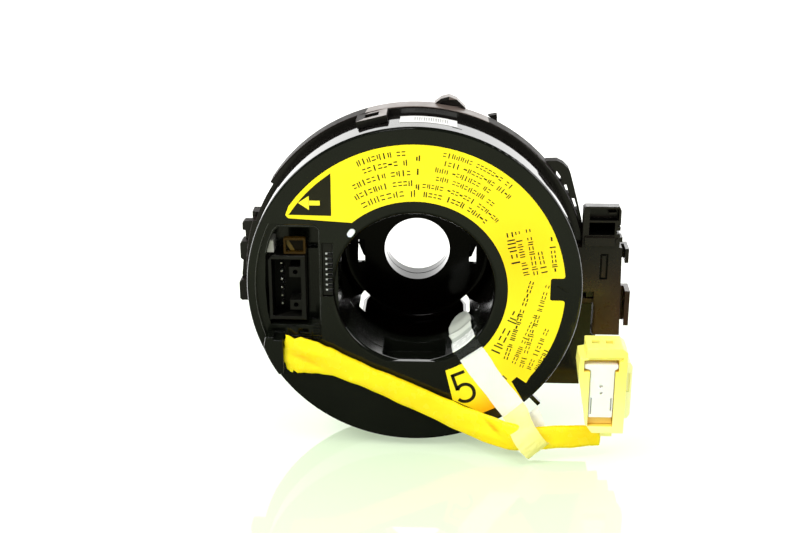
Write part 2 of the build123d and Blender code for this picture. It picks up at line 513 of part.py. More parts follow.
with BuildPart() as rear_slide_sheet:
    turned([(29.0, 19.7), (50.0, 19.7), (50.0, 20.0), (29.0, 20.0)])
save(rear_slide_sheet, "rear_slide_sheet")

with BuildPart() as side_sticker:
    sector(R_CASE + 0.02, R_CASE + 0.17, 76.0, 95.2, 6.6, 13.4)
save(side_sticker, "side_sticker")
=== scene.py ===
import bpy
import bmesh
import math
import random
from mathutils import Vector, Matrix, noise


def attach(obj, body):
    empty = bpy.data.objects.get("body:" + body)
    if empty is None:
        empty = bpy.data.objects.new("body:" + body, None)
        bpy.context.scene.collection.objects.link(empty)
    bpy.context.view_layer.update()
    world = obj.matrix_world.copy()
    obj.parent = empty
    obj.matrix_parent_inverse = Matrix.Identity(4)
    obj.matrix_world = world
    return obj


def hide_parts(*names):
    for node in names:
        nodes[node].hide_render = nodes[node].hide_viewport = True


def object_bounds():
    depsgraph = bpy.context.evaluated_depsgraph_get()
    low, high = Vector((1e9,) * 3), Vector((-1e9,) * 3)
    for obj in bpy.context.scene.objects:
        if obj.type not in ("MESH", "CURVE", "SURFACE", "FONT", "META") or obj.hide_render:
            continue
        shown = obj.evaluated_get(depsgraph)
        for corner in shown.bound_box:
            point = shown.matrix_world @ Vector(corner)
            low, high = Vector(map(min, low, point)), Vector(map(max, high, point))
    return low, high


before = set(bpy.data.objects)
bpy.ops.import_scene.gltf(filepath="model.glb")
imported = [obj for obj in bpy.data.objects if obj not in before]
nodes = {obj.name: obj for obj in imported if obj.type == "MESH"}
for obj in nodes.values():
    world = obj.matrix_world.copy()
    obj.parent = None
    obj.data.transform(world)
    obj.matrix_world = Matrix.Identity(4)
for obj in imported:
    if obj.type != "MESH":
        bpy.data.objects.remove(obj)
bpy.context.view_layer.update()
MM = 0.001
D0 = 22.0
scene = bpy.context.scene


def P(x, d, z):
    """Point in metres from x, depth behind the face and z, all in millimetres."""
    return Vector((x * MM, (d - D0) * MM, z * MM))


# ------------------------------------------------------------------ camera
cam_data = bpy.data.cameras.new("camera")
cam_data.lens = 58.58
cam_data.sensor_width = 36.0
cam_data.clip_start = 0.01
cam = bpy.data.objects.new("camera", cam_data)
scene.collection.objects.link(cam)
CAM = Vector((0.01025, -0.3946, 0.1526))
AIM = Vector((-0.00433, -0.022, 0.00789))
cam.location = CAM
cam.rotation_euler = (AIM - CAM).to_track_quat("-Z", "Y").to_euler()
scene.camera = cam
scene.view_settings.view_transform = "Standard"

# ------------------------------------------------------- the lead, a flat cord
ROUTE = [(-40.7, -2.3, -20.9), (-30.0, -1.7, -22.4), (-15.0, -1.7, -28.9), (2.0, -1.8, -36.7),
         (18.0, -2.4, -44.2), (33.0, -7.4, -47.7), (46.0, -7.2, -46.0), (59.0, -5.2, -46.5)]
route_data = bpy.data.curves.new("lead_route", "CURVE")
route_data.dimensions = "3D"
route_data.resolution_u = 24
spline = route_data.splines.new("NURBS")
spline.points.add(len(ROUTE) - 1)
for pt, (x, d, z) in zip(spline.points, ROUTE):
    v = P(x, d, z)
    pt.co = (v.x, v.y, v.z, 1.0)
spline.order_u = 3
spline.use_endpoint_u = True
route_obj = bpy.data.objects.new("lead_route", route_data)
scene.collection.objects.link(route_obj)
bpy.context.view_layer.update()
line_mesh = bpy.data.meshes.new_from_object(route_obj.evaluated_get(bpy.context.evaluated_depsgraph_get()))
LINE = [v.co.copy() for v in line_mesh.vertices]
bpy.data.meshes.remove(line_mesh)
bpy.data.objects.remove(route_obj)
LENGTH = sum((b - a).length for a, b in zip(LINE, LINE[1:]))


def ramp(table, x):
    """Smooth value from a table of (x, value)."""
    if x <= table[0][0]:
        return table[0][1]
    for (x0, v0), (x1, v1) in zip(table, table[1:]):
        if x <= x1:
            t = (x - x0) / (x1 - x0)
            t = t * t * (3 - 2 * t)
            return v0 + (v1 - v0) * t
    return table[-1][1]


def new_mesh(name, verts, faces, body, smooth=True):
    me = bpy.data.meshes.new(name)
    me.from_pydata([tuple(v) for v in verts], [], faces)
    bm = bmesh.new()
    bm.from_mesh(me)
    bmesh.ops.remove_doubles(bm, verts=bm.verts, dist=1e-7)
    bmesh.ops.recalc_face_normals(bm, faces=bm.faces)
    bm.to_mesh(me)
    bm.free()
    if smooth:
        me.polygons.foreach_set("use_smooth", [True] * len(me.polygons))
    ob = bpy.data.objects.new(name, me)
    scene.collection.objects.link(ob)
    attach(ob, body)
    return ob


W = [(0, 12.6), (2.2, 11.4), (4.4, 12.2), (8, 11.4), (13, 9.6), (18, 7.9), (26, 7.4), (48, 7.9), (60, 8.6), (70, 9.4),
     (76, 9.2), (82, 8.2), (92, 7.6), (110, 6.9)]
T = [(0, 1.4), (2.2, 2.2), (4.4, 2.1), (8, 2.6), (13, 3.1), (18, 3.5), (26, 3.6), (48, 3.5), (60, 3.4), (70, 2.7), (76, 2.6),
     (82, 3.4), (92, 3.8), (110, 3.0)]
FACE_N = Vector((0, -1, 0))
low_side = 1.0 if (LINE[1] - LINE[0]).cross(FACE_N).z > 0 else -1.0


def lead_mesh():
    n_round = 40
    rings = []
    pts = []
    step = 0.0004
    # even samples along the spline's own line
    s = 0.0
    acc = [0.0]
    for a, b in zip(LINE, LINE[1:]):
        acc.append(acc[-1] + (b - a).length)
    count = int(acc[-1] / step)
    j = 0
    for i in range(count + 1):
        t = acc[-1] * i / count
        while j < len(acc) - 2 and acc[j + 1] < t:
            j += 1
        f = (t - acc[j]) / max(acc[j + 1] - acc[j], 1e-12)
        pts.append((t, LINE[j].lerp(LINE[j + 1], f)))
    for i, (t, c) in enumerate(pts):
        a = pts[max(i - 3, 0)][1]
        b = pts[min(i + 3, len(pts) - 1)][1]
        tan = (b - a).normalized()
        across = tan.cross(FACE_N).normalized()
        out = across.cross(tan).normalized()
        mm = t / MM
        w, th = ramp(W, mm) / 2, ramp(T, mm) / 2
        lift = 0.0
        ring = []
        for k in range(n_round):
            ang = 2 * math.pi * k / n_round
            ca, sa = math.cos(ang), math.sin(ang)
            e = 0.8
            u = math.copysign(abs(ca) ** e, ca) * w
            v = math.copysign(abs(sa) ** e, sa) * th
            # soft dents and long creases of a flattened tube
            q = Vector((mm * 0.11, u * 0.22, 3.0 + (1 if sa > 0 else -1)))
            dent = noise.noise(q) * 0.55 + noise.noise(q * 2.7) * 0.2
            v += dent * (0.25 + 0.75 * abs(sa)) * (0.8 if mm > 4 else mm / 5)
            u += noise.noise(Vector((mm * 0.16, 9.0 + (1 if ca > 0 else -1) * 4, 0))) * 0.3
            u += noise.noise(Vector((mm * 0.55, 21.0 + (1 if ca > 0 else -1) * 4, 0))) * 0.5 * math.exp(-(mm / 9) ** 2)
            if sa > 0:
                # crease down the middle near the outlet and near the wrap
                v -= 0.75 * math.exp(-((mm - 7) / 6) ** 2) * math.exp(-((u - 0.8 - (mm - 7) * 0.2) / 1.3) ** 2)
                v += 0.55 * math.exp(-((mm - 9) / 5) ** 2) * math.exp(-((u + 2.2) / 1.2) ** 2)
                v -= 0.9 * math.exp(-((mm - 71) / 4) ** 2) * math.exp(-((u + 1.6 - (mm - 71) * 0.45) / 0.9) ** 2)
                v += 0.5 * math.exp(-((mm - 68) / 5) ** 2) * math.exp(-((u - 1.5) / 1.1) ** 2)
            # the slanted, wavy cut at the outlet
            du = 0.0
            if mm < 6:
                low = max(-u * low_side, 0.0)
                du = (1 - mm / 6) ** 0.8 * (-0.25 + 0.075 * low ** 2 + 0.22 * math.sin(u * 2.1 + 0.6))
            ring.append(c + across * (u * MM) + out * (v * MM) + tan * (du * MM))
        rings.append(ring)
    verts = [v for r in rings for v in r]
    faces = []
    for i in range(len(rings) - 1):
        for k in range(n_round):
            k2 = (k + 1) % n_round
            faces.append((i * n_round + k, i * n_round + k2, (i + 1) * n_round + k2, (i + 1) * n_round + k))
    # closed, slightly sunken ends
    for ri, sgn in ((0, 1), (len(rings) - 1, -1)):
        base = ri * n_round
        c = sum((v for v in rings[ri]), Vector()) / n_round
        nxt = rings[ri + sgn * 3]
        c2 = sum((v for v in nxt), Vector()) / n_round
        inner = len(verts)
        for v in rings[ri]:
            verts.append(v.lerp(c, 0.12))
        deep = len(verts)
        for v in rings[ri]:
            verts.append(v.lerp(c, 0.2) + (c2 - c) * 0.9)
        verts.append(c2)
        for k in range(n_round):
            k2 = (k + 1) % n_round
            faces.append((base + k, base + k2, inner + k2, inner + k))
            faces.append((inner + k, inner + k2, deep + k2, deep + k))
            faces.append((deep + k, deep + k2, len(verts) - 1))
    return verts, faces, [p for _, p in pts]


verts, faces, centre = lead_mesh()
lead = new_mesh("airbag_lead", verts, faces, "rotor")
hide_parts("lead_sleeve")

# ------------------------------------------------------------------ materials


def mat(name):
    m = bpy.data.materials.new(name)
    m.use_nodes = True
    nt = m.node_tree
    return m, nt, nt.nodes["Principled BSDF"]


def node(nt, kind, **sets):
    n = nt.nodes.new(kind)
    for k, v in sets.items():
        if hasattr(n, k):
            setattr(n, k, v)
        else:
            n.inputs[k.replace("_", " ")].default_value = v
    return n


def coords(nt, scale=1.0):
    tc = nt.nodes.new("ShaderNodeTexCoord")
    mp = nt.nodes.new("ShaderNodeMapping")
    mp.inputs["Scale"].default_value = (scale, scale, scale)
    nt.links.new(tc.outputs["Object"], mp.inputs["Vector"])
    return mp.outputs["Vector"]


def noise_tex(nt, vec, scale, detail=3.0, rough=0.5):
    n = nt.nodes.new("ShaderNodeTexNoise")
    n.inputs["Scale"].default_value = scale
    n.inputs["Detail"].default_value = detail
    n.inputs["Roughness"].default_value = rough
    nt.links.new(vec, n.inputs["Vector"])
    return n


def map_range(nt, src, a, b, c, d):
    n = nt.nodes.new("ShaderNodeMapRange")
    for k, v in zip(("From Min", "From Max", "To Min", "To Max"), (a, b, c, d)):
        n.inputs[k].default_value = v
    nt.links.new(src, n.inputs["Value"])
    return n.outputs["Result"]


def mix_col(nt, fac, c1, c2):
    n = nt.nodes.new("ShaderNodeMix")
    n.data_type = "RGBA"
    if isinstance(fac, float):
        n.inputs["Factor"].default_value = fac
    else:
        nt.links.new(fac, n.inputs["Factor"])
    for idx, c in ((6, c1), (7, c2)):
        if hasattr(c, "links") or hasattr(c, "is_linked"):
            nt.links.new(c, n.inputs[idx])
        else:
            n.inputs[idx].default_value = (*c, 1)
    return n.outputs[2]


def bump(nt, height, strength, dist, bevel=0.0, draft=0.0):
    b = nt.nodes.new("ShaderNodeBump")
    b.inputs["Strength"].default_value = strength
    b.inputs["Distance"].default_value = dist
    nt.links.new(height, b.inputs["Height"])
    if bevel:
        bv = nt.nodes.new("ShaderNodeBevel")
        bv.samples = 4
        bv.inputs["Radius"].default_value = bevel
        nt.links.new(bv.outputs["Normal"], b.inputs["Normal"])
    if draft:
        # mould draft of a wall that is plain in the model: its skin leans a little to the front
        geo = nt.nodes.new("ShaderNodeNewGeometry")
        lean = nt.nodes.new("ShaderNodeVectorMath")
        lean.operation = "ADD"
        lean.inputs[1].default_value = (0.0, -draft, 0.0)
        nt.links.new(geo.outputs["Normal"], lean.inputs[0])
        unit = nt.nodes.new("ShaderNodeVectorMath")
        unit.operation = "NORMALIZE"
        nt.links.new(lean.outputs["Vector"], unit.inputs[0])
        nt.links.new(unit.outputs["Vector"], b.inputs["Normal"])
    return b.outputs["Normal"]


def plastic(name, c1, c2, rough, spread=0.05, grain=1600.0, grain_str=0.05, wave=90.0, bevel=0.00018,
            specular=0.5, coat=0.0, sss=0.0, sss_r=(0.002, 0.0015, 0.0005), lift=None, ior=1.5, draft=0.0):
    """Moulded plastic: colour drift, faint flow waves, fine grain, softened edges and scuffs in the roughness."""
    m, nt, bs = mat(name)
    vec = coords(nt)
    drift = noise_tex(nt, vec, 45.0, 3.0)
    col = mix_col(nt, map_range(nt, drift.outputs["Fac"], 0.3, 0.7, 0.0, 1.0), c1, c2)
    # lift = (z0, z1, tint) blends the colour towards the tint from z1 down to z0; column_black uses it as a painted
    # reflection of the yellow plug on its lower part
    if lift:
        z0, z1, tint = lift
        sep = nt.nodes.new("ShaderNodeSeparateXYZ")
        nt.links.new(vec, sep.inputs["Vector"])
        col = mix_col(nt, map_range(nt, sep.outputs["Z"], z1 * MM, z0 * MM, 0.0, 1.0), col, tint)
    nt.links.new(col, bs.inputs["Base Color"])
    scuff = noise_tex(nt, vec, 260.0, 5.0, 0.65)
    nt.links.new(map_range(nt, scuff.outputs["Fac"], 0.35, 0.75, rough, rough + spread), bs.inputs["Roughness"])
    fine = noise_tex(nt, vec, grain, 2.0)
    long = noise_tex(nt, vec, wave, 1.0)
    add = nt.nodes.new("ShaderNodeMath")
    add.operation = "MULTIPLY_ADD"
    add.inputs[1].default_value = 0.25
    nt.links.new(fine.outputs["Fac"], add.inputs[0])
    nt.links.new(long.outputs["Fac"], add.inputs[2])
    nt.links.new(bump(nt, add.outputs[0], grain_str, 0.0002, 0.0 if draft else bevel, draft), bs.inputs["Normal"])
    bs.inputs["Specular IOR Level"].default_value = specular
    bs.inputs["IOR"].default_value = ior
    bs.inputs["Coat Weight"].default_value = coat
    bs.inputs["Coat Roughness"].default_value = 0.08
    if sss:
        bs.inputs["Subsurface Weight"].default_value = sss
        bs.inputs["Subsurface Radius"].default_value = (1.0, 0.7, 0.25)
        bs.inputs["Subsurface Scale"].default_value = sss_r[0]
    return m


M = {}
M["gloss_black"] = plastic("gloss_black", (0.0034, 0.0042, 0.0028), (0.0055, 0.0066, 0.0042), 0.13, 0.07, grain_str=0.06)
M["case_black"] = plastic("case_black", (0.0055, 0.005, 0.004), (0.009, 0.008, 0.007), 0.12, 0.10, grain_str=0.08)
M["case_wall"] = plastic("case_wall", (0.006, 0.0052, 0.0045), (0.010, 0.009, 0.008), 0.06, 0.05, grain_str=0.03, draft=0.13, ior=1.85)
M["plate_black"] = plastic("plate_black", (0.012, 0.0085, 0.0072), (0.018, 0.0135, 0.0115), 0.42, 0.12, grain_str=0.16, ior=1.3, specular=0.06)
M["wall_brown"] = plastic("wall_brown", (0.10, 0.075, 0.062), (0.13, 0.10, 0.085), 0.34, 0.12, grain_str=0.12, ior=1.36)
M["well_glare"] = plastic("well_glare", (0.25, 0.24, 0.21), (0.55, 0.54, 0.5), 0.16, 0.08, grain_str=0.06)
M["recess_shade_black"] = plastic("recess_shade_black", (0.001, 0.001, 0.0008), (0.002, 0.0018, 0.0015), 0.4, 0.1, grain_str=0.06, ior=1.3)
M["bore_black"] = plastic("bore_black", (0.0014, 0.0012, 0.001), (0.0024, 0.002, 0.0016), 0.16, 0.08, grain_str=0.08, ior=1.3, specular=0.05)
M["satin_black"] = plastic("satin_black", (0.004, 0.004, 0.0032), (0.007, 0.0066, 0.0055), 0.28, 0.12, grain_str=0.18)
# painted reflection: the column housing's lower part is tinted brown-orange for the yellow plug mirrored in it
M["column_black"] = plastic("column_black", (0.0085, 0.0066, 0.0045), (0.0125, 0.0098, 0.0066), 0.25, 0.12, grain_str=0.14,
                            lift=(-21.0, 7.0, (0.055, 0.019, 0.0045)))
M["hub_black"] = plastic("hub_black", (0.0006, 0.0003, 0.0002), (0.0012, 0.0006, 0.0004), 0.11, 0.08, grain_str=0.10, ior=1.24)
M["plug_yellow"] = plastic("plug_yellow", (0.97, 0.86, 0.155), (0.98, 0.90, 0.21), 0.30, 0.10, grain_str=0.12, sss=0.3,
                           specular=0.3, ior=1.3, lift=(-41.0, -20.0, (0.98, 0.93, 0.36)))
M["plug_pale"] = plastic("plug_pale", (0.97, 0.95, 0.50), (0.98, 0.96, 0.60), 0.30, 0.10, grain_str=0.12, sss=0.3, specular=0.3, ior=1.3)
M["plug_track_shade"] = plastic("plug_track_shade", (0.93, 0.62, 0.07), (0.95, 0.72, 0.12), 0.36, 0.10, grain_str=0.12, sss=0.2, ior=1.3)
M["lock_white"] = plastic("lock_white", (0.86, 0.86, 0.78), (0.9, 0.9, 0.84), 0.34, 0.10, grain_str=0.12, sss=0.3)
M["retainer_orange"] = plastic("retainer_orange", (0.88, 0.56, 0.10), (0.92, 0.64, 0.16), 0.35, 0.1, grain_str=0.1)
M["amber"] = plastic("amber", (0.022, 0.011, 0.001), (0.036, 0.018, 0.0015), 0.22, 0.1, grain_str=0.1, ior=1.3)
M["amber_dark"] = plastic("amber_dark", (0.004, 0.0026, 0.0004), (0.007, 0.004, 0.0006), 0.3, 0.1, grain_str=0.1, ior=1.25)
M["amber_glow"] = plastic("amber_glow", (0.060, 0.036, 0.003), (0.105, 0.066, 0.006), 0.24, 0.1, grain_str=0.1)
M["glint_grey"] = plastic("glint_grey", (0.035, 0.036, 0.032), (0.10, 0.10, 0.092), 0.25, 0.1, grain_str=0.1)
M["mark_pale"] = plastic("mark_pale", (0.80, 0.84, 0.84), (0.9, 0.92, 0.92), 0.3, 0.1, grain_str=0.1, sss=0.2)
M["tip_glint"] = plastic("tip_glint", (0.86, 0.88, 0.86), (0.95, 0.95, 0.93), 0.2, 0.1, grain_str=0.1)
M["slide_white"] = plastic("slide_white", (0.75, 0.75, 0.72), (0.82, 0.82, 0.8), 0.35, 0.1)
M["cable_film"] = plastic("cable_film", (0.55, 0.52, 0.42), (0.62, 0.58, 0.46), 0.3, 0.1)
M["ferrite"] = plastic("ferrite", (0.05, 0.05, 0.05), (0.08, 0.08, 0.08), 0.6, 0.1, grain_str=0.3)


def metal(name, c1, c2, rough):
    m, nt, bs = mat(name)
    vec = coords(nt)
    n1 = noise_tex(nt, vec, 900.0, 4.0)
    nt.links.new(mix_col(nt, n1.outputs["Fac"], c1, c2), bs.inputs["Base Color"])
    nt.links.new(map_range(nt, n1.outputs["Fac"], 0.3, 0.7, rough, rough + 0.15), bs.inputs["Roughness"])
    bs.inputs["Metallic"].default_value = 1.0
    nt.links.new(bump(nt, n1.outputs["Fac"], 0.2, 0.00005, 0.00006), bs.inputs["Normal"])
    return m


M["tinned"] = metal("tinned", (0.72, 0.72, 0.70), (0.85, 0.85, 0.83), 0.2)
M["pin_dark"] = metal("pin_dark", (0.12, 0.12, 0.11), (0.2, 0.2, 0.19), 0.3)
M["contact_brass"] = metal("contact_brass", (0.75, 0.55, 0.22), (0.85, 0.66, 0.32), 0.22)


def film(name, c1, c2, rough, fibre=0.0, fine=0.25, sss=0.0, spec=0.5, dirt=None, shade_spots=()):
    """Printed film or paper tape: colour drift, tiny wrinkles, fibres or surface tooth."""
    m, nt, bs = mat(name)
    vec = coords(nt)
    n1 = noise_tex(nt, vec, 60.0, 4.0)
    col = mix_col(nt, map_range(nt, n1.outputs["Fac"], 0.3, 0.7, 0.0, 1.0), c1, c2)
    # painted shade: each spot blends the colour towards a deeper orange tint round a point (x, z) of the face, where
    # less light falls
    for sx, sz, radius, tint in shade_spots:
        mp = nt.nodes.new("ShaderNodeMapping")
        nt.links.new(vec, mp.inputs["Vector"])
        mp.inputs["Location"].default_value = (-sx / radius, 0.0, -sz / radius)
        mp.inputs["Scale"].default_value = (1 / (radius * MM), 0.0, 1 / (radius * MM))
        far = nt.nodes.new("ShaderNodeVectorMath")
        far.operation = "LENGTH"
        nt.links.new(mp.outputs["Vector"], far.inputs[0])
        col = mix_col(nt, map_range(nt, far.outputs["Value"], 1.0, 0.15, 0.0, 1.0), col, tint)
    if dirt:
        n3 = noise_tex(nt, vec, 380.0, 6.0, 0.7)
        col = mix_col(nt, map_range(nt, n3.outputs["Fac"], 0.62, 0.74, 0.0, 0.35), col, dirt)
    nt.links.new(col, bs.inputs["Base Color"])
    n2 = noise_tex(nt, vec, 700.0, 5.0, 0.6)
    nt.links.new(map_range(nt, n2.outputs["Fac"], 0.3, 0.7, rough, rough + 0.12), bs.inputs["Roughness"])
    h = n2.outputs["Fac"]
    if fibre:
        wv = nt.nodes.new("ShaderNodeTexWave")
        wv.inputs["Scale"].default_value = fibre
        wv.inputs["Distortion"].default_value = 4.0
        wv.inputs["Detail"].default_value = 3.0
        nt.links.new(vec, wv.inputs["Vector"])
        add = nt.nodes.new("ShaderNodeMath")
        add.operation = "ADD"
        nt.links.new(wv.outputs["Fac"], add.inputs[0])
        nt.links.new(n2.outputs["Fac"], add.inputs[1])
        h = add.outputs[0]
    nt.links.new(bump(nt, h, fine, 0.00005), bs.inputs["Normal"])
    bs.inputs["Specular IOR Level"].default_value = spec
    if sss:
        bs.inputs["Subsurface Weight"].default_value = sss
        bs.inputs["Subsurface Scale"].default_value = 0.0015
        bs.inputs["Subsurface Radius"].default_value = (1.0, 0.8, 0.3)
    return m


# painted shade: the deeper orange spots on the label's right side and low edge
M["label_yellow"] = film("label_yellow", (0.95, 0.765, 0.009), (0.97, 0.80, 0.014), 0.33, fine=0.12, spec=0.3,
                         shade_spots=((31.0, 12.0, 20.0, (0.97, 0.66, 0.006)), (25.5, -40.5, 9.0, (0.97, 0.44, 0.003)),
                                (33.0, -27.0, 14.0, (0.97, 0.70, 0.006))))
M["label_edge"] = film("label_edge", (0.95, 0.80, 0.02), (0.97, 0.84, 0.04), 0.33, fine=0.12, spec=0.3)
M["print_black"] = film("print_black", (0.010, 0.010, 0.004), (0.022, 0.020, 0.008), 0.38, fine=0.15, spec=0.3)
M["sticker_white"] = film("sticker_white", (0.80, 0.80, 0.76), (0.86, 0.86, 0.82), 0.4, fine=0.15)
M["sticker_grey"] = film("sticker_grey", (0.35, 0.35, 0.34), (0.42, 0.42, 0.4), 0.4, fine=0.15)
M["tape_white"] = film("tape_white", (0.90, 0.90, 0.80), (0.95, 0.95, 0.88), 0.42, fibre=420.0, fine=0.3, sss=0.2)
M["tape_yellow"] = film("tape_yellow", (0.93, 0.84, 0.22), (0.95, 0.89, 0.36), 0.34, fibre=360.0, fine=0.3, sss=0.25)
M["tape_inner"] = film("tape_inner", (0.92, 0.92, 0.86), (0.95, 0.95, 0.9), 0.4, fibre=420.0, fine=0.3, sss=0.2)


def sleeve_material():
    """Soft PVC sleeve: saturated yellow, painted shade of deeper orange in its folds, long soft sheen."""
    m, nt, bs = mat("sleeve_yellow")
    vec = coords(nt)
    n1 = noise_tex(nt, vec, 35.0, 3.0)
    base = mix_col(nt, map_range(nt, n1.outputs["Fac"], 0.35, 0.7, 0.0, 1.0), (0.96, 0.68, 0.003), (0.98, 0.77, 0.009))
    geo = nt.nodes.new("ShaderNodeNewGeometry")
    # painted shade: concave folds, found by pointiness, are blended towards deep orange
    crease_shade = map_range(nt, geo.outputs["Pointiness"], 0.49, 0.455, 0.0, 0.8)
    col = mix_col(nt, crease_shade, base, (0.93, 0.40, 0.0))
    nt.links.new(col, bs.inputs["Base Color"])
    n2 = noise_tex(nt, vec, 240.0, 4.0)
    nt.links.new(map_range(nt, n2.outputs["Fac"], 0.3, 0.7, 0.20, 0.32), bs.inputs["Roughness"])
    st = nt.nodes.new("ShaderNodeMapping")
    tc = nt.nodes.new("ShaderNodeTexCoord")
    nt.links.new(tc.outputs["Object"], st.inputs["Vector"])
    st.inputs["Rotation"].default_value = (0, math.radians(-25), 0)
    st.inputs["Scale"].default_value = (0.12, 1.0, 1.0)
    n3 = noise_tex(nt, st.outputs["Vector"], 700.0, 3.0)
    nt.links.new(bump(nt, n3.outputs["Fac"], 0.22, 0.0001), bs.inputs["Normal"])
    bs.inputs["Subsurface Weight"].default_value = 0.25
    bs.inputs["Subsurface Scale"].default_value = 0.0015
    bs.inputs["Subsurface Radius"].default_value = (1.0, 0.6, 0.1)
    bs.inputs["Specular IOR Level"].default_value = 0.5
    return m


M["sleeve_yellow"] = sleeve_material()


def clear_film():
    m, nt, bs = mat("tape_clear")
    vec = coords(nt)
    n2 = noise_tex(nt, vec, 300.0, 4.0)
    nt.links.new(mix_col(nt, n2.outputs["Fac"], (0.14, 0.15, 0.15), (0.24, 0.25, 0.25)), bs.inputs["Base Color"])
    nt.links.new(map_range(nt, n2.outputs["Fac"], 0.3, 0.7, 0.06, 0.18), bs.inputs["Roughness"])
    nt.links.new(bump(nt, n2.outputs["Fac"], 0.25, 0.0001), bs.inputs["Normal"])
    bs.inputs["Alpha"].default_value = 0.05
    bs.inputs["IOR"].default_value = 1.2
    return m


M["tape_clear"] = clear_film()
# lit and shaded copies of one film for the tongue: the palest is a painted highlight, the darkest a painted shade
M["tongue_grey"] = film("tongue_grey", (0.74, 0.80, 0.67), (0.86, 0.90, 0.79), 0.10, fine=0.14, spec=0.7)
M["tongue_shaded"] = film("tongue_shaded", (0.60, 0.66, 0.56), (0.70, 0.75, 0.66), 0.12, fine=0.14, spec=0.7)
M["tongue_lit"] = film("tongue_lit", (0.90, 0.94, 0.86), (0.95, 0.97, 0.92), 0.2, fine=0.14, spec=0.7)


def paint(name, key):
    o = nodes[name]
    o.data.materials.clear()
    o.data.materials.append(M[key])


for name, key in {
    "rotor_cover": "gloss_black", "hub_sleeve": "hub_black", "cancel_cam": "hub_black",
    "rotor_socket_housing": "satin_black", "rotor_socket_pins": "tinned", "rotor_lead_block": "satin_black",
    "rotor_bus_bars": "pin_dark", "amber_frame": "amber", "align_mark": "mark_pale", "yellow_label": "label_yellow",
    "plug_body": "plug_yellow", "plug_lock": "lock_white", "plug_retainer": "retainer_orange",
    "plug_contacts": "contact_brass", "plug_ferrite": "ferrite", "stator_case": "case_black",
    "stator_back_plate": "case_black", "column_plug_housing": "column_black", "column_terminals": "tinned",
    "stator_lead_block": "satin_black", "flat_cable": "cable_film", "front_slide_sheet": "slide_white",
    "rear_slide_sheet": "slide_white", "side_sticker": "sticker_white",
}.items():
    paint(name, key)
lead.data.materials.append(M["sleeve_yellow"])


def repaint(name, key, test):
    """Give the faces of a CAD piece whose centre passes the test another finish."""
    me = nodes[name].data
    me.materials.append(M[key])
    k = len(me.materials) - 1
    mw = nodes[name].matrix_world
    for p in me.polygons:
        c = mw @ p.center
        n = (mw.to_3x3() @ p.normal).normalized()
        if test(c.x / MM, c.y / MM + D0, c.z / MM, n):
            p.material_index = k


def radius_at(x, z):
    return math.hypot(x, z)


# painted shade: the recessed panel of the amber frame gets a darker amber
repaint("amber_frame", "amber_dark", lambda x, d, z, n: 2.0 < d < 2.9 and -39.7 < x < -34.1 and n.y < -0.5)
# the latch, the rim of the back plate and the case wall beside them get finishes of their own: a duller black on the
# rim, and a brown on the latch and the rim's top that is painted light where the top light falls on the black part
# painted highlight: the front faces of the bus bars get a pale colour for the bright glint on their tinned tips
repaint("rotor_bus_bars", "tip_glint", lambda x, d, z, n: n.y < -0.5)
# painted shade: the inner wall of the bore gets a darker black with almost no reflection
repaint("rotor_cover", "bore_black", lambda x, d, z, n: 21.0 < radius_at(x, z) < 31.0 and n.y > -0.75 and d > 0.3 and z > -13.0
        and n.x * x + n.z * z < 0)
repaint("stator_case", "case_wall", lambda x, d, z, n: radius_at(x, z) > 51.6 and abs(n.y) < 0.3 and radius_at(x, z) < 52.4)
repaint("rotor_cover", "case_wall", lambda x, d, z, n: radius_at(x, z) > 51.6 and abs(n.y) < 0.3)
repaint("stator_back_plate", "plate_black", lambda x, d, z, n: n.y > -0.8 and radius_at(x, z) > 53.4)
# painted light: the upward faces of the back plate's rim at the top and the latch's faces get a brown that stands in
# for the top light on black plastic
repaint("stator_back_plate", "wall_brown", lambda x, d, z, n: radius_at(x, z) > 53.5 and n.z > 0.6 and n.y > -0.6 and -15 < x < 22)
repaint("stator_back_plate", "wall_brown", lambda x, d, z, n: radius_at(x, z) > 56.3 and z > 45 and (2 < x < 17 or 20 < x < 28) and (n.z > 0.1 or n.y < -0.7))
# painted reflection: the well's left wall is given a pale colour for the bright patch it mirrors
repaint("rotor_cover", "well_glare", lambda x, d, z, n: n.x > 0.6 and x < -42.5 and 1.2 < d < 8.9 and z > 9.0)
# painted shade: the floor and inner walls of the socket get a near-black
repaint("rotor_socket_housing", "recess_shade_black", lambda x, d, z, n: d > 6.5 or (d > 1.1 and -44.3 < x < -39.0 and abs(n.y) < 0.5))
# painted shade: the inside of the tower's compartments gets a near-black
repaint("column_plug_housing", "recess_shade_black", lambda x, d, z, n: 12.05 < d < 12.65 and 58.0 < x < 60.9 and -0.4 < z < 8.6
        and not (58.85 < x < 60.05 and n.y < -0.5 and d < 12.3))
# painted shade: the inner walls of the slot at the tower's top get a near-black
repaint("column_plug_housing", "recess_shade_black", lambda x, d, z, n: z > 14.6 and 12.3 < d < 26 and 54.1 < x < 63.4 and radius_at(x, z) > 53 and abs(n.y) < 0.5 and z < 23.4)
repaint("plug_body", "plug_pale", lambda x, d, z, n: x > 65.6)
# painted shade: the inner faces of the lock's track on the plug get a deeper yellow-orange
repaint("plug_body", "plug_track_shade", lambda x, d, z, n: 52.0 < x < 63.2 and -39.4 < z < -16.5 and -12.95 < d < -9.9)

# --------------------------------------------------------------- label print
TOP = -0.2  # front of the label, depth in mm


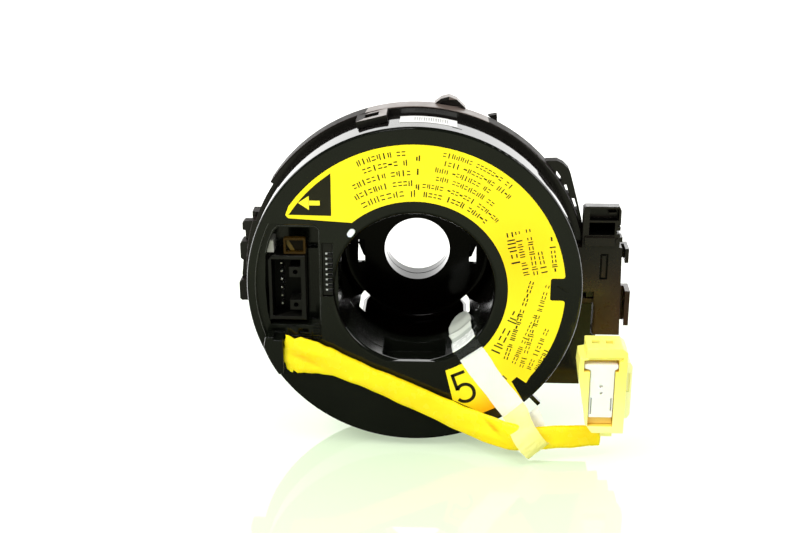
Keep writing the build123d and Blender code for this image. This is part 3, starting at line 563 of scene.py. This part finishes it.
def plate_mesh(name, polys, d_front, thick, key, body="rotor"):
    """Thin closed shapes that lie on a plane of the face; polys are lists of (x, z) in mm."""
    vs, fs = [], []
    for poly in polys:
        n = len(poly)
        b = len(vs)
        vs += [P(x, d_front, z) for x, z in poly] + [P(x, d_front + thick, z) for x, z in poly]
        fs.append(tuple(range(b, b + n)))
        fs.append(tuple(range(b + 2 * n - 1, b + n - 1, -1)))
        for i in range(n):
            j = (i + 1) % n
            fs.append((b + i, b + n + i, b + n + j, b + j))
    me = bpy.data.meshes.new(name)
    me.from_pydata([tuple(v) for v in vs], [], fs)
    bm = bmesh.new()
    bm.from_mesh(me)
    bmesh.ops.recalc_face_normals(bm, faces=bm.faces)
    bm.to_mesh(me)
    bm.free()
    me.materials.append(M[key])
    ob = bpy.data.objects.new(name, me)
    scene.collection.objects.link(ob)
    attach(ob, body)
    return ob


rng = random.Random(4248)
print_polys = []


def block(c, along, up, w, h):
    (cx, cz), (ax, az), (ux, uz) = c, along, up
    return [(cx - ax * w / 2 - ux * h / 2, cz - az * w / 2 - uz * h / 2),
            (cx + ax * w / 2 - ux * h / 2, cz + az * w / 2 - uz * h / 2),
            (cx + ax * w / 2 + ux * h / 2, cz + az * w / 2 + uz * h / 2),
            (cx - ax * w / 2 + ux * h / 2, cz - az * w / 2 + uz * h / 2)]


def greek(c, along, up, w, h, heavy):
    """One plain mark of greeked print: a pair of dashes, a bar, two bars or a dash, never a letter."""
    (cx, cz), (ax, az), (ux, uz) = c, along, up
    kind = rng.random()
    t = (0.33 if h > 1.65 else 0.27) * heavy

    def put(a, b, ww, hh):
        print_polys.append(block((cx + ax * a + ux * b, cz + az * a + uz * b), along, up, ww, hh))

    if kind < 0.42:
        put(0, 0.28 * h, w * rng.uniform(0.75, 1.0), t)
        put(0, -0.28 * h, w * rng.uniform(0.75, 1.0), t)
    elif kind < 0.78:
        put(-w * 0.3, 0, t, h * rng.uniform(0.8, 1.0))
        put(w * 0.3, rng.uniform(-0.1, 0.1) * h, t, h * rng.uniform(0.55, 1.0))
    elif kind < 0.9:
        put(0, 0, t * 1.2, h)
    else:
        put(0, 0, w, t * 1.5)


def arc_row(r, a0, a1, size, words, heavy=1.0, turn=0):
    """Marks along an arc from angle a0 to a1, tops outward, with word gaps."""
    a = a0
    step = -1 if a1 < a0 else 1
    left = list(words) if words else None
    run = left.pop(0) if left else rng.randint(3, 8)
    while (a1 - a) * step > 0:
        if run <= 0:
            a += step * math.degrees(size * 0.65 / r)
            run = left.pop(0) if left else rng.randint(3, 8)
            continue
        w = size * rng.uniform(0.55, 0.72)
        mid = a + step * math.degrees(w / 2 / r)
        m = math.radians(mid)
        up = (math.cos(m), math.sin(m))
        along = (-math.sin(m), math.cos(m))
        greek((r * up[0], r * up[1]), along, up, w, size, heavy)
        a += step * math.degrees((w + size * 0.2) / r)
        run -= 1


def line_row(p0, p1, size, heavy=1.0):
    """Marks along a straight row between two points."""
    dx, dz = p1[0] - p0[0], p1[1] - p0[1]
    length = math.hypot(dx, dz)
    along = (dx / length, dz / length)
    up = (-along[1], along[0])
    s = 0.0
    run = rng.randint(3, 8)
    while s < length - size * 0.5:
        if run <= 0:
            s += size * 0.6
            run = rng.randint(3, 8)
            continue
        w = size * rng.uniform(0.55, 0.72)
        c = (p0[0] + along[0] * (s + w / 2), p0[1] + along[1] * (s + w / 2))
        greek(c, along, up, w, size, heavy)
        s += w + size * 0.2
        run -= 1


# rows on the upper left, from the bore outwards
for r, a0, a1, size in ((31.6, 120, 91, 2.3), (34.8, 121, 92.5, 1.9), (38.0, 119, 92.5, 1.9), (41.2, 112, 92.5, 1.9), (44.1, 113, 94, 1.9)):
    arc_row(r, a0, a1, size, (7, 9, 5, 6))
for r in (33.6, 38.4, 42.6):
    arc_row(r, 89.4, 88.4, 1.9, (1,), 1.2)
# rows on the upper right
for r, a0, a1, size in ((31.4, 85, 46, 1.75), (34.1, 86, 43, 1.6), (36.9, 80, 50, 1.6), (39.5, 81, 56, 1.6), (42.0, 78, 48, 1.6), (44.6, 79, 50, 1.6)):
    arc_row(r, a0, a1, size, None)
# group on the right, rows running up
line_row((31.3, 8.9), (28.9, 19.2), 2.7, 1.3)
for x0, z0, x1, z1, size in ((34.6, 5.6, 31.2, 19.8, 1.9), (37.4, 5.8, 34.4, 20.6, 1.9), (40.1, 6.2, 38.0, 14.6, 1.9), (43.3, 7.0, 41.4, 19.4, 1.8)):
    line_row((x0, z0), (x1, z1), size)
# lower group: one larger row, then smaller rows
line_row((25.4, -21.0), (32.6, -5.4), 3.0, 1.25)
for x0, z0, x1, z1, size in ((28.9, -22.9, 36.3, 3.6, 1.7), (31.4, -24.4, 38.4, -6.6, 1.65), (33.9, -25.6, 41.2, 2.6, 1.65),
                             (36.3, -26.2, 41.6, -12.2, 1.6), (38.6, -26.4, 41.9, -19.0, 1.6)):
    line_row((x0, z0), (x1, z1), size)
line_row((27.0, -31.4), (30.0, -28.2), 2.2, 1.2)
plate_mesh("label_print", print_polys, TOP - 0.03, 0.03, "print_black")

# numeral 5 in the lower box
FIVE = [(3.4, 6.4), (-1.9, 6.4), (-2.5, 0.3)]


def stroke(points, width, closed=False):
    """Outline quads along a stroked path, mitred."""
    out = []
    n = len(points)
    left, right = [], []
    for i, (x, z) in enumerate(points):
        if i == 0:
            dx, dz = points[1][0] - x, points[1][1] - z
        elif i == n - 1:
            dx, dz = x - points[-2][0], z - points[-2][1]
        else:
            dx, dz = points[i + 1][0] - points[i - 1][0], points[i + 1][1] - points[i - 1][1]
        l = math.hypot(dx, dz) or 1
        nx, nz = -dz / l * width / 2, dx / l * width / 2
        left.append((x + nx, z + nz))
        right.append((x - nx, z - nz))
    for i in range(n - 1):
        out.append([left[i], left[i + 1], right[i + 1], right[i]])
    return out


def place(polys, c, ang, k=1.0):
    ca, sa = math.cos(math.radians(ang)), math.sin(math.radians(ang))
    return [[(c[0] + k * (x * ca - z * sa), c[1] + k * (x * sa + z * ca)) for x, z in p] for p in polys]


bowl = [(-1.9, -0.1), (-1.2, 0.7), (-0.1, 1.15), (1.1, 1.1), (2.3, 0.45), (3.05, -0.7), (3.2, -2.1), (2.8, -3.5), (1.9, -4.6),
        (0.6, -5.15), (-0.8, -5.1), (-2.1, -4.5), (-2.9, -3.4)]


def smooth_path(pts, n=5):
    out = []
    for i in range(len(pts) - 1):
        p0 = pts[max(i - 1, 0)]
        p1, p2 = pts[i], pts[i + 1]
        p3 = pts[min(i + 2, len(pts) - 1)]
        for k in range(n):
            t = k / n
            out.append(tuple(0.5 * ((2 * p1[j]) + (-p0[j] + p2[j]) * t + (2 * p0[j] - 5 * p1[j] + 4 * p2[j] - p3[j]) * t * t
                                    + (-p0[j] + 3 * p1[j] - 3 * p2[j] + p3[j]) * t ** 3) for j in (0, 1)))
    out.append(pts[-1])
    return out


five = stroke([(3.0, 5.6), (-1.7, 5.6)], 1.15) + stroke([(-1.35, 6.1), (-1.95, -0.15)], 1.15) + stroke(smooth_path(bowl), 1.2)
plate_mesh("numeral_five", place(five, (15.6, -33.2), 24, 0.93), TOP - 0.035, 0.03, "print_black")

# triangle with its arrow, upper left
tri = [(-25.2, 24.0), (-25.2, 37.7)]
for i in range(13):
    a = math.radians(124.0 + (148.5 - 124.0) * i / 12)
    tri.append((45.2 * math.cos(a), 45.2 * math.sin(a)))
tri = [(-25.2, 24.1), (-25.2, 37.6)] + [(x, z) for x, z in tri[2:] if x < -25.6 and z > 24.6] + [(-38.3, 24.3)]
plate_mesh("arrow_field", [tri], TOP - 0.03, 0.025, "print_black")
arrow = [[(-28.6, 27.4), (-28.6, 28.9), (-32.0, 28.9), (-32.0, 27.4)], [(-31.9, 30.4), (-35.2, 28.15), (-31.9, 25.9)]]
plate_mesh("arrow", arrow, TOP - 0.05, 0.03, "label_edge")


def stroke(points, width):
    """Narrow strip along a line, as mitred quads."""
    side = []
    for k, (x, z) in enumerate(points):
        ax, az = points[max(k - 1, 0)]
        bx, bz = points[min(k + 1, len(points) - 1)]
        l = math.hypot(bx - ax, bz - az)
        side.append((-(bz - az) / l * width / 2, (bx - ax) / l * width / 2))
    left = [(x + sx, z + sz) for (x, z), (sx, sz) in zip(points, side)]
    right = [(x - sx, z - sz) for (x, z), (sx, sz) in zip(points, side)]
    return [[left[k], left[k + 1], right[k + 1], right[k]] for k in range(len(points) - 1)]


# painted highlight lines: thin grey strips round the well on the floor of the recess, and along the recess's arc on the
# face, for the light caught by their rounded edges
well_glint = [(-45.9, 11.4), (-44.9, 15.4), (-43.4, 18.9), (-42.0, 20.35), (-30.7, 20.35), (-29.9, 20.0), (-29.25, 19.0), (-29.2, 12.0), (-29.2, 2.0), (-29.2, -8.0), (-29.2, -12.4)]
plate_mesh("well_glint", stroke(well_glint, 0.16), 0.9, 0.1, "glint_grey")
arc_glint = []
for k in range(33):
    a = math.radians(154.5 + 46.5 * k / 32)
    arc_glint.append((49.35 * math.cos(a), 49.35 * math.sin(a)))
plate_mesh("arc_glint", stroke(arc_glint, 0.13), -0.03, 0.05, "glint_grey")
# pale block in the well's upper left corner: its pale colour is a painted reflection, the bright patch on the well's
# left wall
plate_mesh("well_glare_block", [[(-44.55, 14.9), (-43.55, 14.9), (-43.45, 11.0), (-45.7, 11.0)]], 2.6, 6.4, "well_glare")
# amber film: lighter wedge of the panel and the strip at the well's upper edge
plate_mesh("amber_wedge", [[(-39.5, 15.3), (-38.9, 15.3), (-36.9, 11.7), (-38.3, 11.7), (-39.5, 13.7)]], 2.70, 0.06, "amber_glow")
plate_mesh("amber_edge", [[(-40.2, 20.75), (-39.0, 21.05), (-31.6, 21.05), (-30.9, 20.75)]], 0.92, 0.06, "amber_glow")

# stripes on the side sticker
polys = []
for i in range(15):
    a0 = 90.4 - i * 0.78
    polys.append((a0, a0 - rng.uniform(0.3, 0.5)))
vs, fs = [], []
for a0, a1 in polys:
    for r in (52.0,):
        b = len(vs)
        for a in (a0, a1):
            for d in (7.9, 11.6):
                for rr in (51.98, 52.01):
                    vs.append(P(rr * math.cos(math.radians(a)), d, rr * math.sin(math.radians(a))))
        fs += [(b, b + 1, b + 3, b + 2), (b + 4, b + 6, b + 7, b + 5), (b, b + 4, b + 5, b + 1), (b + 2, b + 3, b + 7, b + 6),
               (b + 1, b + 5, b + 7, b + 3), (b, b + 2, b + 6, b + 4)]
ob = new_mesh("sticker_stripes", vs, fs, "stator", smooth=False)
ob.data.materials.append(M["sticker_grey"])

# --------------------------------------------------------------------- tape


def ribbon(name, path, thick, key, body="rotor", ncross=9, curl=0.0, seed=1.0, rough_edge=0.0, inner=None):
    """Closed thin strip along (centre, across, half width) stations in metres. inner is a second material for the back."""
    n = len(path)
    front, back = [], []
    for i, (c, ac, hw) in enumerate(path):
        a = path[max(i - 1, 0)][0]
        b = path[min(i + 1, n - 1)][0]
        tan = (b - a).normalized()
        nrm = tan.cross(ac).normalized()
        fr, bk = [], []
        for k in range(ncross):
            u = -1 + 2 * k / (ncross - 1)
            wob = noise.noise(Vector((i * 0.35, u * 1.5, seed))) * curl
            edge = noise.noise(Vector((i * 0.9, 5.0 * (1 if u > 0 else -1), seed + 7))) * rough_edge if abs(u) > 0.99 else 0.0
            p = c + ac * (u * hw + edge) + nrm * (wob * MM)
            fr.append(p)
            bk.append(p - nrm * thick)
        front.append(fr)
        back.append(bk)
    vs, fs = [], []
    for g in (front, back):
        for row in g:
            vs += row
    o = n * ncross
    for i in range(n - 1):
        for k in range(ncross - 1):
            q = i * ncross + k
            fs.append((q, q + 1, q + ncross + 1, q + ncross))
            fs.append((o + q, o + q + ncross, o + q + ncross + 1, o + q + 1))
        for k in (0, ncross - 1):
            q = i * ncross + k
            fs.append((q, q + ncross, o + q + ncross, o + q) if k == 0 else (q, o + q, o + q + ncross, q + ncross))
    for k in range(ncross - 1):
        fs.append((k, o + k, o + k + 1, k + 1))
        q = (n - 1) * ncross + k
        fs.append((q, q + 1, o + q + 1, o + q))
    me = bpy.data.meshes.new(name)
    me.from_pydata([tuple(v) for v in vs], [], fs)
    me.materials.append(M[key])
    if inner:
        me.materials.append(M[inner])
        for p in me.polygons:
            if all(v >= o for v in p.vertices):
                p.material_index = 1
    bm = bmesh.new()
    bm.from_mesh(me)
    bmesh.ops.recalc_face_normals(bm, faces=bm.faces)
    for f in bm.faces:
        f.smooth = True
    for e in bm.edges:
        if len(e.link_faces) == 2 and e.link_faces[0].normal.angle(e.link_faces[1].normal, 0) > 0.9:
            e.smooth = False
    bm.to_mesh(me)
    bm.free()
    ob = bpy.data.objects.new(name, me)
    scene.collection.objects.link(ob)
    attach(ob, body)
    return ob


def stations(keys, n):
    """Smooth stations through keys of (x, d, z, across x, across d, across z, half width), in mm."""
    out = []
    m = len(keys) - 1
    for i in range(n):
        t = i / (n - 1) * m
        j = min(int(t), m - 1)
        f = t - j
        k0, k1, k2, k3 = keys[max(j - 1, 0)], keys[j], keys[j + 1], keys[min(j + 2, m)]
        v = [0.5 * (2 * k1[q] + (-k0[q] + k2[q]) * f + (2 * k0[q] - 5 * k1[q] + 4 * k2[q] - k3[q]) * f * f
                    + (-k0[q] + 3 * k1[q] - 3 * k2[q] + k3[q]) * f ** 3) for q in range(7)]
        out.append((P(v[0], v[1], v[2]), Vector((v[3], v[4], v[5])).normalized(), v[6] * MM))
    return out


# tongue in the bore: it follows the wall, with a rounded end
def on_wall(a, d, r=24.25):
    t = math.radians(a)
    return (r * math.cos(t), d, r * math.sin(t))


tongue = []
NT = 46
for i in range(NT):
    d = 27.4 - (27.4 + 0.1) * i / (NT - 1)
    ang = -53.0 + 4.2 * (1 - d / 27.4) ** 1.6
    hw = 4.5
    if d > 16.0:
        hw = 4.5 * math.sqrt(max(1 - ((d - 16.0) / 11.45) ** 2, 0.0004))
    elif d < 12.0:
        hw = 4.5 - 0.55 * math.exp(-((d - 8.5) / 2.6) ** 2)
    tongue.append((d, ang, hw))
vs, fs = [], []
NC = 15
for side_r in (24.05, 24.35):
    for d, ang, hw in tongue:
        for k in range(NC):
            u = -1 + 2 * k / (NC - 1)
            # a soft crease across the tongue lifts it from the wall
            lift = 0.55 * math.exp(-((d - 12.5) / 1.6) ** 2) + 0.25 * math.exp(-((d - 20) / 2.5) ** 2)
            lift += 0.12 * noise.noise(Vector((d * 0.2, u, 2.0)))
            r = side_r - max(lift, 0.0)
            a = ang + math.degrees(u * hw / 24.2)
            x, dd, z = on_wall(a, d, r)
            vs.append(P(x, dd, z))
o = NT * NC
for i in range(NT - 1):
    for k in range(NC - 1):
        q = i * NC + k
        fs.append((q, q + 1, q + NC + 1, q + NC))
        fs.append((o + q, o + q + NC, o + q + NC + 1, o + q + 1))
    q = i * NC
    fs.append((q, q + NC, o + q + NC, o + q))
    q = i * NC + NC - 1
    fs.append((q, o + q, o + q + NC, q + NC))
for k in range(NC - 1):
    fs.append((k, o + k, o + k + 1, k + 1))
    q = (NT - 1) * NC + k
    fs.append((q, q + 1, o + q + 1, o + q))
tongue_ob = new_mesh("tape_tongue_film", vs, fs, "rotor")
tongue_ob.data.materials.append(M["tongue_grey"])
tongue_ob.data.materials.append(M["tongue_shaded"])
tongue_ob.data.materials.append(M["tongue_lit"])
# painted light: the tongue is pale near the lip where the light falls brightest, with a band of painted shade above it
for p in tongue_ob.data.polygons:
    d = p.center.y / MM + D0
    if d < 6.5:
        p.material_index = 2
    elif 6.5 <= d < 9.5:
        p.material_index = 1
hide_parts("tape_tongue")

# film over the lip, then the white strip over the label
film_keys = [(15.9, 1.0, -18.1, 0.80, 0, 0.60, 4.4), (16.5, -0.1, -18.9, 0.80, 0, 0.60, 4.3), (17.2, -0.45, -19.9, 0.80, 0, 0.60, 4.2),
             (18.4, -0.42, -21.5, 0.80, 0, 0.60, 4.2)]
film_ob = ribbon("tape_lip_film", stations(film_keys, 14), 0.00008, "tape_clear", curl=0.08)
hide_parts("tape_film")

strip_keys = [(18.0, -0.34, -21.0, 0.81, 0, 0.59, 4.2), (20.6, -0.34, -24.9, 0.83, 0, 0.56, 4.3), (23.0, -0.35, -28.6, 0.80, 0, 0.60, 4.1),
              (26.0, -0.38, -32.6, 0.78, 0, 0.62, 4.0), (29.0, -0.45, -36.6, 0.74, 0, 0.67, 4.2), (32.2, -0.9, -40.6, 0.73, 0, 0.68, 4.2)]
strip_ob = ribbon("tape_face_strip", stations(strip_keys, 40), 0.00012, "tape_white", curl=0.12, seed=3.0, rough_edge=0.00012)
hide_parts("tape_strip")

# yellow wrap: from the rim over the lead, round under it and up behind it
A = (0.73, 0.0, 0.68)
wrap_keys = [(31.7, -1.1, -40.2, *A, 4.2), (33.0, -3.2, -41.3, *A, 4.25), (33.8, -7.2, -42.4, *A, 4.3), (35.0, -10.6, -43.8, *A, 4.3),
             (37.0, -11.6, -46.4, *A, 4.3), (38.8, -11.4, -48.7, *A, 4.2), (39.9, -9.8, -50.0, *A, 4.1), (39.9, -7.0, -50.2, *A, 4.1),
             (39.3, -4.2, -48.4, *A, 4.1), (38.2, -2.6, -45.2, *A, 4.1), (36.4, -1.6, -41.4, *A, 4.1)]
wrap_ob = ribbon("tape_lead_wrap", stations(wrap_keys, 90), 0.00014, "tape_yellow", curl=0.25, seed=8.0, rough_edge=0.0002, inner="tape_inner")
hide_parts("tape_wrap")

# ------------------------------------------------------------ floor and light
FLOOR_Z = min(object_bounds()[0][2], -0.0544) - 0.0003


def plane(name, sx, sy, loc, rot=(0, 0, 0), material=None, subdiv=1):
    me = bpy.data.meshes.new(name)
    n = subdiv
    vs = [(-sx / 2 + sx * i / n, -sy / 2 + sy * j / n, 0) for j in range(n + 1) for i in range(n + 1)]
    fs = [(j * (n + 1) + i, j * (n + 1) + i + 1, (j + 1) * (n + 1) + i + 1, (j + 1) * (n + 1) + i) for j in range(n) for i in range(n)]
    me.from_pydata(vs, [], fs)
    if material:
        me.materials.append(material)
    ob = bpy.data.objects.new(name, me)
    ob.location = loc
    ob.rotation_euler = rot
    scene.collection.objects.link(ob)
    return ob


def floor_material():
    """Lit pale acrylic bench: faint drift, a clear polish and a green cast close in front of the part."""
    m, nt, bs = mat("floor_pale")
    vec = coords(nt)
    n = noise_tex(nt, vec, 6.0, 3.0)
    plain = mix_col(nt, n.outputs["Fac"], (0.93, 0.935, 0.86), (0.95, 0.95, 0.89))
    sep = nt.nodes.new("ShaderNodeMapping")
    nt.links.new(vec, sep.inputs["Vector"])
    sep.inputs["Location"].default_value = (0.0, 0.45, 0.0)
    sep.inputs["Scale"].default_value = (3.6, 3.0, 0.0)
    dist = nt.nodes.new("ShaderNodeVectorMath")
    dist.operation = "LENGTH"
    nt.links.new(sep.outputs["Vector"], dist.inputs[0])
    near = map_range(nt, dist.outputs["Value"], 1.0, 0.45, 0.0, 1.0)
    col = mix_col(nt, near, plain, (0.80, 0.95, 0.68))
    half = nt.nodes.new("ShaderNodeMix")
    half.data_type = "RGBA"
    half.blend_type = "MULTIPLY"
    half.inputs["Factor"].default_value = 1.0
    nt.links.new(col, half.inputs[6])
    half.inputs[7].default_value = (0.52, 0.52, 0.52, 1)
    nt.links.new(half.outputs[2], bs.inputs["Base Color"])
    nt.links.new(col, bs.inputs["Emission Color"])
    bs.inputs["Emission Strength"].default_value = 0.46
    nt.links.new(map_range(nt, n.outputs["Fac"], 0.3, 0.7, 0.015, 0.03), bs.inputs["Roughness"])
    bs.inputs["Specular IOR Level"].default_value = 0.5
    return m


floor = plane("floor", 6.0, 6.0, (0, 0, FLOOR_Z), material=floor_material())
floor.visible_glossy = False


def glow(name, color, strength, fade=None):
    """Plain light card; fade = (axis, at0, at1, low) makes it weaker towards one side, in its own coordinates."""
    m = bpy.data.materials.new(name)
    m.use_nodes = True
    nt = m.node_tree
    nt.nodes.clear()
    e = nt.nodes.new("ShaderNodeEmission")
    e.inputs["Color"].default_value = (*color, 1)
    e.inputs["Strength"].default_value = strength
    if fade:
        axis, at0, at1, low = fade
        sep = nt.nodes.new("ShaderNodeSeparateXYZ")
        nt.links.new(coords(nt), sep.inputs["Vector"])
        nt.links.new(map_range(nt, sep.outputs[axis], at0, at1, low, strength), e.inputs["Strength"])
    out = nt.nodes.new("ShaderNodeOutputMaterial")
    nt.links.new(e.outputs[0], out.inputs["Surface"])
    return m


def only_glossy(ob):
    ob.visible_camera = False
    ob.visible_diffuse = False
    ob.visible_shadow = False
    ob.visible_transmission = False
    ob.visible_volume_scatter = False
    return ob


# bright studio sweep behind and to both sides, seen only in reflections
vs, fs = [], []
for i in range(49):
    a = math.radians(-12 + 204 * i / 48)
    for z in (-1.5, 0.85):
        vs.append((1.3 * math.cos(a), 1.3 * math.sin(a), z))
for i in range(48):
    fs.append((2 * i, 2 * i + 1, 2 * i + 3, 2 * i + 2))
me = bpy.data.meshes.new("card_sweep")
me.from_pydata(vs, [], fs)
me.materials.append(glow("card_sweep", (1.0, 1.0, 0.985), 3.3))
ob = bpy.data.objects.new("card_sweep", me)
scene.collection.objects.link(ob)
only_glossy(ob)
# dim bench in front: what the face mirrors, darkest close to the part
only_glossy(plane("card_bench", 3.0, 2.4, (0, -1.23, FLOOR_Z - 0.001), (0, 0, 0), glow("card_bench", (0.95, 1.0, 0.70), 0.40, (1, 1.20, 1.02, 0.05))))
only_glossy(plane("card_right", 0.30, 0.26, (0.80, -0.33, 0.43), (math.radians(62), 0, math.radians(68)), glow("card_right", (1, 0.99, 0.95), 4.0)))
only_glossy(plane("card_front_top", 0.20, 0.10, (-0.12, -0.70, 0.60), (math.radians(40), 0, 0), glow("card_front_top", (1, 1, 1), 9.0)))

world = bpy.data.worlds.new("studio")
scene.world = world
world.use_nodes = True
wn = world.node_tree
bg = wn.nodes["Background"]
bg.inputs["Color"].default_value = (1.0, 1.0, 1.0, 1)
bg.inputs["Strength"].default_value = 1.06
world.cycles_visibility.glossy = False


def area(name, loc, aim, size, power, color=(1, 1, 1), size_y=None):
    ld = bpy.data.lights.new(name, "AREA")
    ld.energy = power
    ld.color = color
    ld.size = size
    if size_y:
        ld.shape = "RECTANGLE"
        ld.size_y = size_y
    ob = bpy.data.objects.new(name, ld)
    ob.location = loc
    ob.rotation_euler = (Vector(aim) - Vector(loc)).to_track_quat("-Z", "Y").to_euler()
    ob.visible_glossy = False
    scene.collection.objects.link(ob)
    return ob


area("key_left", (-0.42, -0.42, 0.55), (-0.02, 0, 0.0), 0.28, 3.2)
area("key_top", (0.05, -0.30, 0.80), (0, 0, 0), 0.4, 2.2)
